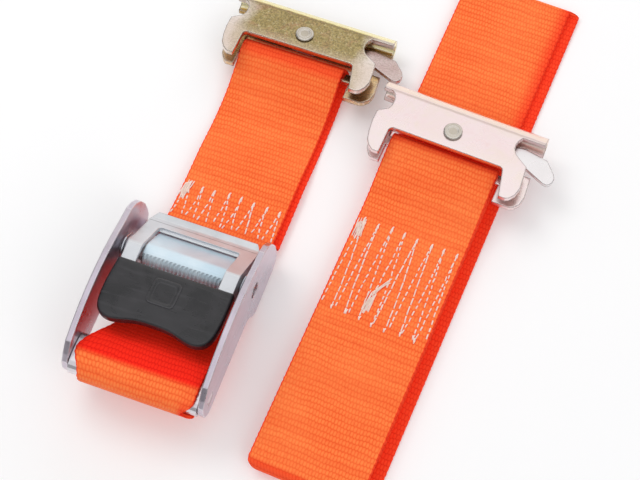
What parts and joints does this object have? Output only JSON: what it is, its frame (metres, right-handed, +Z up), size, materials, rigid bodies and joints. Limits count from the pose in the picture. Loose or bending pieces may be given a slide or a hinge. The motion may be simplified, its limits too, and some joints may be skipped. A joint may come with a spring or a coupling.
{
  "type": "cam buckle tie-down strap",
  "caption": "Webbing tie-down laid flat: cam buckle with hinged lever on a short sewn strap, a folded long strap beside it, spring track fittings on both.",
  "frame": {"origin": "on the floor, at the bottom centre of the whole lay-out's bounding box; the middle of the buckle's cam pivot pin is at X -52.0 mm, Y -60.6 mm, Z 22.6 mm", "axes": "+Z up from the floor, +Y from the buckle along its short strap towards that strap's track fitting, +X across the webbing towards the long strap"},
  "size_m": [0.1677, 0.2635, 0.0391],
  "materials": {
    "frame_zinc": "bright zinc-plated pressed steel with a faint lavender tint",
    "bar_zinc": "bright zinc-plated steel",
    "lever_zinc": "bright zinc-plated pressed steel",
    "jaw_zinc": "blue-white zinc-plated steel",
    "pin_steel": "plain steel",
    "spring_steel": "spring steel wire",
    "grip_plastic": "black moulded plastic, satin",
    "webbing": "orange ribbed polyester webbing",
    "thread": "white polyester thread",
    "fitting_yellow": "yellow chromate zinc plating, iridescent",
    "fitting_pale": "pale yellow-pink chromate zinc plating, iridescent"
  },
  "bodies": {
    "buckle": {"buckle_frame": "frame_zinc", "front_crossbar": "bar_zinc", "pivot_pin": "pin_steel", "buckle_webbing": "webbing"},
    "lever": {"cam_lever": "lever_zinc", "cam_jaw": "jaw_zinc", "lever_grip": "grip_plastic", "left_pin_spacer": "pin_steel", "right_pin_spacer": "pin_steel", "left_return_spring": "spring_steel", "right_return_spring": "spring_steel"},
    "short_strap": {"short_strap": "webbing", "short_strap_stitching": "thread"},
    "short_fitting": {"short_fitting_body": "fitting_yellow", "short_fitting_rivet": "fitting_yellow", "short_fitting_spacer": "pin_steel"},
    "short_latch": {"short_fitting_latch": "fitting_yellow", "short_fitting_spring": "spring_steel"},
    "long_strap": {"long_strap": "webbing", "long_strap_stitching": "thread"},
    "long_fitting": {"long_fitting_body": "fitting_pale", "long_fitting_rivet": "fitting_pale", "long_fitting_spacer": "pin_steel"},
    "long_latch": {"long_fitting_latch": "fitting_pale", "long_fitting_spring": "spring_steel"}
  },
  "joints": [
    {"name": "lever_pivot", "type": "hinge", "parent": "buckle", "child": "lever", "pos_m": [-0.052, -0.0606, 0.0226], "axis": [1, 0, 0], "range_deg": [0, 8.5]},
    {"name": "short_strap_swing", "type": "hinge", "parent": "buckle", "child": "short_strap", "pos_m": [-0.0484, -0.0415, 0.0049], "axis": [1, -0.0096, 0], "range_deg": [0, 14]},
    {"name": "short_fitting_swing", "type": "hinge", "parent": "short_strap", "child": "short_fitting", "pos_m": [-0.04571, 0.05648, 0.0088], "axis": [1, -0.0096, 0], "range_deg": [0, 33]},
    {"name": "short_latch_pivot", "type": "hinge", "parent": "short_fitting", "child": "short_latch", "pos_m": [-0.04561, 0.06657, 0.00702], "axis": [0.0017, 0.1736, 0.9848], "range_deg": [0, 8]},
    {"name": "long_strap_lift", "type": "slide", "parent": "buckle", "child": "long_strap", "axis": [0, 0, 1], "range_m": [0, 0.12]},
    {"name": "long_fitting_swing", "type": "hinge", "parent": "long_strap", "child": "long_fitting", "pos_m": [0.03456, 0.03, 0.0114], "axis": [0.9985, -0.0541, 0], "range_deg": [0, 45]},
    {"name": "long_latch_pivot", "type": "hinge", "parent": "long_fitting", "child": "long_latch", "pos_m": [0.03511, 0.04023, 0.01104], "axis": [0.0019, 0.0348, 0.9994], "range_deg": [0, 8]}
  ]
}
